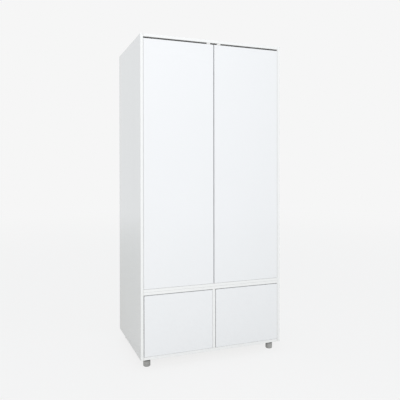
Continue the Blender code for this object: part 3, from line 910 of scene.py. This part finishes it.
def armBlock(front):
    # rounded section carried from the tail to the front: its depth grows up a slope, its ends are rounded
    look = hingeLook
    rear = front + look["armLength"]
    t = np.linspace(0, np.pi / 2, gridLook["edgeSteps"])
    ease = look["armEnd"] * (1 - np.cos(t))
    close = look["armEnd"] * (1 - np.sin(t))
    shoulder = rear - look["armDepth"]
    inwards = np.concatenate([rear - ease, [shoulder], front + ease[::-1]])
    inset = np.concatenate([close, [0], close[::-1]])[:, None, None]
    depth = np.interp(inwards, [shoulder, rear], [look["armDepth"], look["armTail"]])
    half = ((depth - look["plateBase"]) / 2)[:, None, None]
    corner = np.minimum(look["armShoulder"], half - look["edgeRound"])
    along, up = roundedOutline(half, look["armHeight"] / 2, corner, inset)
    middle = ((depth + look["plateBase"]) / 2)[:, None]
    rings = np.stack(np.broadcast_arrays(along + middle, inwards[:, None], up), -1)
    return capped(rings, rings[[0, -1]].mean(1))


def armShape():
    # the arm on its plate, with a nose that carries the middle link
    look = hingeLook
    inner, outer, start, _, half = linkSizes()
    front = outer + look["armGap"]
    wide, tall = look["plateLength"] / 2, look["plateHeight"] / 2
    thick = look["plateTop"] - look["plateLow"]
    plate = plateShape(wide, tall, look["plateCorner"], thick, look["plateRound"])
    plate = placed(plate, (look["plateLow"], front + look["plateOffset"] + wide, 0), (1, 0, 0))
    nose = linkShape(start, math.acos(look["plateBase"] / inner), -look["linkStep"])
    noseRear = front + look["noseReach"]
    noseFront = (inner + outer) / 2
    deep, wide = (noseRear - noseFront) / 2, (look["noseDepth"] - look["plateBase"]) / 2
    neck = plateShape(deep, wide, look["noseCorner"], 2 * half, look["edgeRound"])
    neckPlace = (look["plateBase"] + wide, noseFront + deep, -look["linkStep"] - half)
    return joined(armBlock(front), plate, nose, placed(neck, neckPlace, upwards))


def makeHinges():
    look = hingeLook
    low, high = nodeBox("left_door")
    thick = high[1] - low[1]
    _, outer, start, end, _ = linkSizes()
    front = outer + look["armGap"]
    cup, arm, link = cupShape(thick), armShape(), linkShape(start, end, 0)
    wingMiddle = look["wingNear"] + look["wingWidth"] / 2
    wingTop = thick + look["play"] + look["cupWall"]
    wingSpots = [(wingMiddle, wingTop, way * look["wingScrew"]) for way in (-1, 1)]
    plateMiddle = front + look["plateOffset"] + look["plateLength"] / 2
    armSpots = [(look["plateTop"], plateMiddle, way * look["plateScrew"]) for way in (-1, 1)]
    armSpots += [(look["armDepth"], front + far, 0) for far in (look["armNear"], look["armFar"])]
    plates, plateAxes = [], []
    for hand, sign in hands.items():
        for part, shape, body in (
            ("cup", cup, f"{hand}_door"),
            ("link", link, f"{hand}_hinge_links"),
            ("arm", arm, "case"),
        ):
            nodeNames = [f"{hand}_hinge_{part}_{place}" for place in hingePlaces]
            addPiece(f"{hand}_hinge_{part}_set", atHinges(shape, hand), "platedSteel", body, nodeNames)
        addScrews(f"{hand}_cup_screws", hingeSpots(wingSpots, hand), rearwards, f"{hand}_door")
        spots = hingeSpots(armSpots, hand)
        plates.append(spots)
        plateAxes += [(-sign, 0, 0)] * len(spots)
    addScrews("hinge_plate_screws", np.vstack(plates), plateAxes, "case")


makeHinges()
print("hinges made")


# Fixings of the rail, the latches and the runners

fixingLook = {
    "socketReach": 0.0199, "latchFront": 0.012, "latchRear": 0.010, "latchTouch": 0.00001,
    "runnerEnd": 0.035, "runnerSpots": 3,
}


def makeFixings():
    look = fixingLook
    sockets, socketAxes, latches = [], [], []
    for hand, sign in hands.items():
        low, high = nodeBox(f"{hand}_rail_socket")
        middle = (low + high) / 2
        face = (low if sign < 0 else high)[0] - sign * railLook["flange"]
        sockets += [(face, middle[1], middle[2] + way * look["socketReach"]) for way in (-1, 1)]
        socketAxes += [(-sign, 0, 0)] * 2
        body = nodePoints(f"{hand}_latch_body")
        under = body[body[:, 2] < body[:, 2].min() + look["latchTouch"]]
        middleX = under[:, 0].mean()
        ends = (under[:, 1].min() + look["latchFront"], under[:, 1].max() - look["latchRear"])
        latches += [(middleX, y, under[0, 2]) for y in ends]
    addScrews("rail_socket_screws", sockets, socketAxes, "case")
    addScrews("latch_screws", latches, downwards, "case")

    caseSpots, caseAxes = [], []
    for hand in hands:
        drawerSpots, drawerAxes = [], []
        for side, sign in hands.items():
            # the case member's screws face the drawer, and the drawer member's face the case
            for member, facing, spots, axes in (
                ("case", -sign, caseSpots, caseAxes),
                ("drawer", sign, drawerSpots, drawerAxes),
            ):
                low, high = nodeBox(f"{hand}_drawer_{side}_{member}_runner")
                web = (low if facing > 0 else high)[0] + facing * runnerLook["sheet"]
                level = (low[2] + high[2]) / 2
                first, last = low[1] + look["runnerEnd"], high[1] - look["runnerEnd"]
                spots += [(web, y, level) for y in np.linspace(first, last, look["runnerSpots"])]
                axes += [(facing, 0, 0)] * look["runnerSpots"]
        addScrews(f"{hand}_drawer_runner_screws", drawerSpots, drawerAxes, f"{hand}_drawer")
    addScrews("case_runner_screws", caseSpots, caseAxes, "case")


makeFixings()
print("fixings made")


# Back panel nails and the white covers of the cam fittings

nailLook = {
    "radius": 0.0024, "height": 0.0008, "rows": 6, "steps": 20,
    "pitch": 0.150, "inset": 0.045, "lap": 0.004,
}


def makeNails():
    look = nailLook
    inset, pitch = look["inset"], look["pitch"]
    low, high = nodeBox("back_panel")
    rear = high[1]
    places = []
    for z in evenly(low[2] + inset, high[2] - inset, pitch):
        places += [(x, rear, z) for x in (low[0] + look["lap"], high[0] - look["lap"])]
    for boardName in ("top_panel", "wardrobe_floor_panel", "bottom_panel"):
        boardLow, boardHigh = nodeBox(boardName)
        level = (boardLow[2] + boardHigh[2]) / 2
        places += [(x, rear, level) for x in evenly(boardLow[0] + inset, boardHigh[0] - inset, pitch)]
    boardLow, boardHigh = nodeBox("drawer_divider")
    middle = (boardLow[0] + boardHigh[0]) / 2
    places += [(middle, rear, z) for z in evenly(boardLow[2] + inset, boardHigh[2] - inset, pitch)]
    nail = turned(domeProfile(look["radius"], 0, look["height"], look["rows"]), look["steps"])
    addPiece("back_panel_nails", placed(nail, places, rearwards), "screwSteel", "case")


coverLook = {
    "radius": 0.0085, "height": 0.0009, "edgeRound": 0.0005, "steps": 40, "endInset": 0.034,
    "frontInset": 0.085, "rearInset": 0.085, "wallFront": 0.034, "wallLow": 0.060, "wallHigh": 0.045,
}


def makeCovers():
    look = coverLook
    cover = roundSection(look["radius"], 0, look["height"], look["edgeRound"], look["steps"])
    places, axes = [], []
    for boardName, way in (("top_panel", -1), ("wardrobe_floor_panel", 1), ("drawer_bay_top_panel", -1)):
        low, high = nodeBox(boardName)
        level = (low if way < 0 else high)[2]
        for x in (low[0] + look["endInset"], high[0] - look["endInset"]):
            for y in (low[1] + look["frontInset"], high[1] - look["rearInset"]):
                places.append((x, y, level))
                axes.append((0, 0, way))
    addPiece("cam_covers", placed(cover, places, axes), "whitePlastic", "case")
    for hand in hands:
        places, axes = [], []
        for side, sign in hands.items():
            low, high = nodeBox(f"{hand}_drawer_{side}_wall")
            face = (high if sign < 0 else low)[0]
            for z in (low[2] + look["wallLow"], high[2] - look["wallHigh"]):
                places.append((face, low[1] + look["wallFront"], z))
                axes.append((-sign, 0, 0))
        covers = placed(cover, places, axes)
        addPiece(f"{hand}_drawer_cam_covers", covers, "whitePlastic", f"{hand}_drawer")


makeNails()
makeCovers()
print("nails and covers made")


# Studio: pale floor, even surround, one soft lamp, and the camera

studio = {
    "paleLevel": 0.9216,       # what the eye sees as the plain surround
    "fillColour": (0.746, 0.780, 0.802),
    "floorHalf": 30.0,
    "floorPale": 0.82,         # gives the pale level in the open
    "floorColour": (0.610, 0.582, 0.530),
    "eyeShade": 0.12,          # share of real shade near the object, for the eye and for gloss
    "glossShade": 0.62,
    "shadeNear": 1.0,
    "shadeFar": 10.0,
    "lampPlace": (-1.7, -5.2, 2.9),
    "lampAim": (0.0, -0.29, 1.00),
    "lampSize": 1.8,
    "lampPower": 132.0,
    "lampColour": (1.0, 0.970, 0.990),
}


def lightPath(sheet):
    path = sheet.node("ShaderNodeLightPath").socket.node.outputs
    rays = [Wire(sheet, path[f"Is {kind} Ray"]) for kind in ("Camera", "Glossy", "Transmission")]
    return rays[0], functools.reduce(operator.or_, rays)


def makeFloor():
    half = studio["floorHalf"]
    mesh = bpy.data.meshes.new("studio_floor")
    corners = [(-half, -half, 0), (half, -half, 0), (half, half, 0), (-half, half, 0)]
    mesh.from_pydata(corners, [], [(0, 1, 2, 3)])
    material, sheet = newFinish("studioFloor")
    x, y, _ = sheet.places().parts()
    near = 1 - sheet.rise((x * x + y * y).root(), studio["shadeNear"], studio["shadeFar"])
    eye, seen = lightPath(sheet)
    pale = sheet.node("ShaderNodeEmission", None, {"Color": (studio["paleLevel"],) * 3, "Strength": 1.0})
    mattColour = sheet.colour(eye, studio["floorColour"], (studio["floorPale"],) * 3)
    matt = sheet.node("ShaderNodeBsdfDiffuse", None, {"Color": mattColour})
    share = seen * (1 - near * blendValue(eye, studio["glossShade"], studio["eyeShade"]))
    sheet.finishWith(sheet.node("ShaderNodeMixShader", None, {0: share, 1: matt, 2: pale}))
    mesh.materials.append(material)
    floor = bpy.data.objects.new("studio_floor", mesh)
    bpy.context.scene.collection.objects.link(floor)


def makeSurround():
    world = bpy.data.worlds.new("studioSurround")
    world.use_nodes = True
    sheet = Sheet(world.node_tree)
    _, seen = lightPath(sheet)
    level = sheet.colour(seen, studio["fillColour"], (studio["paleLevel"],) * 3)
    sky = sheet.node("ShaderNodeBackground", None, {"Color": level, "Strength": 1.0})
    sheet.node("ShaderNodeOutputWorld", None, {"Surface": sky})
    bpy.context.scene.world = world


def makeLamp():
    light = bpy.data.lights.new("softLamp", "AREA")
    light.shape = "DISK"
    light.size = studio["lampSize"]
    light.energy = studio["lampPower"]
    light.color = studio["lampColour"]
    lamp = bpy.data.objects.new("softLamp", light)
    aim = np.array(studio["lampAim"]) - np.array(studio["lampPlace"])
    lamp.location = studio["lampPlace"]
    lamp.rotation_euler = (math.acos(-aim[2] / np.linalg.norm(aim)), 0, math.atan2(-aim[0], aim[1]))
    lamp.visible_glossy = False        # gloss shows the even surround, and no bright disc
    bpy.context.scene.collection.objects.link(lamp)


makeFloor()
makeSurround()
makeLamp()

lens = {
    "place": (-1.0442, -2.8251, 1.0855),
    "turnRight": 20.718,       # degrees from straight along the depth
    "turnLevel": 90.0,         # degrees from straight down
    "tiltDown": 0.500,
    "rollRight": 0.067,
    "focalPixels": 477.90,
    "imagePixels": 400,
    "axisRow": 174.76,         # row of the photograph that the lens looks straight at
    "sensor": 36.0,
}


def makeCamera():
    data = bpy.data.cameras.new("photoCamera")
    data.sensor_width = lens["sensor"]
    data.lens = lens["focalPixels"] / lens["imagePixels"] * lens["sensor"]
    data.shift_y = (lens["axisRow"] - lens["imagePixels"] / 2) / lens["imagePixels"]
    camera = bpy.data.objects.new("photoCamera", data)
    camera.location = lens["place"]
    turns = (lens["turnLevel"] - lens["tiltDown"], lens["rollRight"], -lens["turnRight"])
    camera.rotation_euler = tuple(math.radians(turn) for turn in turns)
    bpy.context.scene.collection.objects.link(camera)
    bpy.context.scene.camera = camera


makeCamera()
bpy.context.scene.view_settings.view_transform = "Standard"
print("studio and camera set")
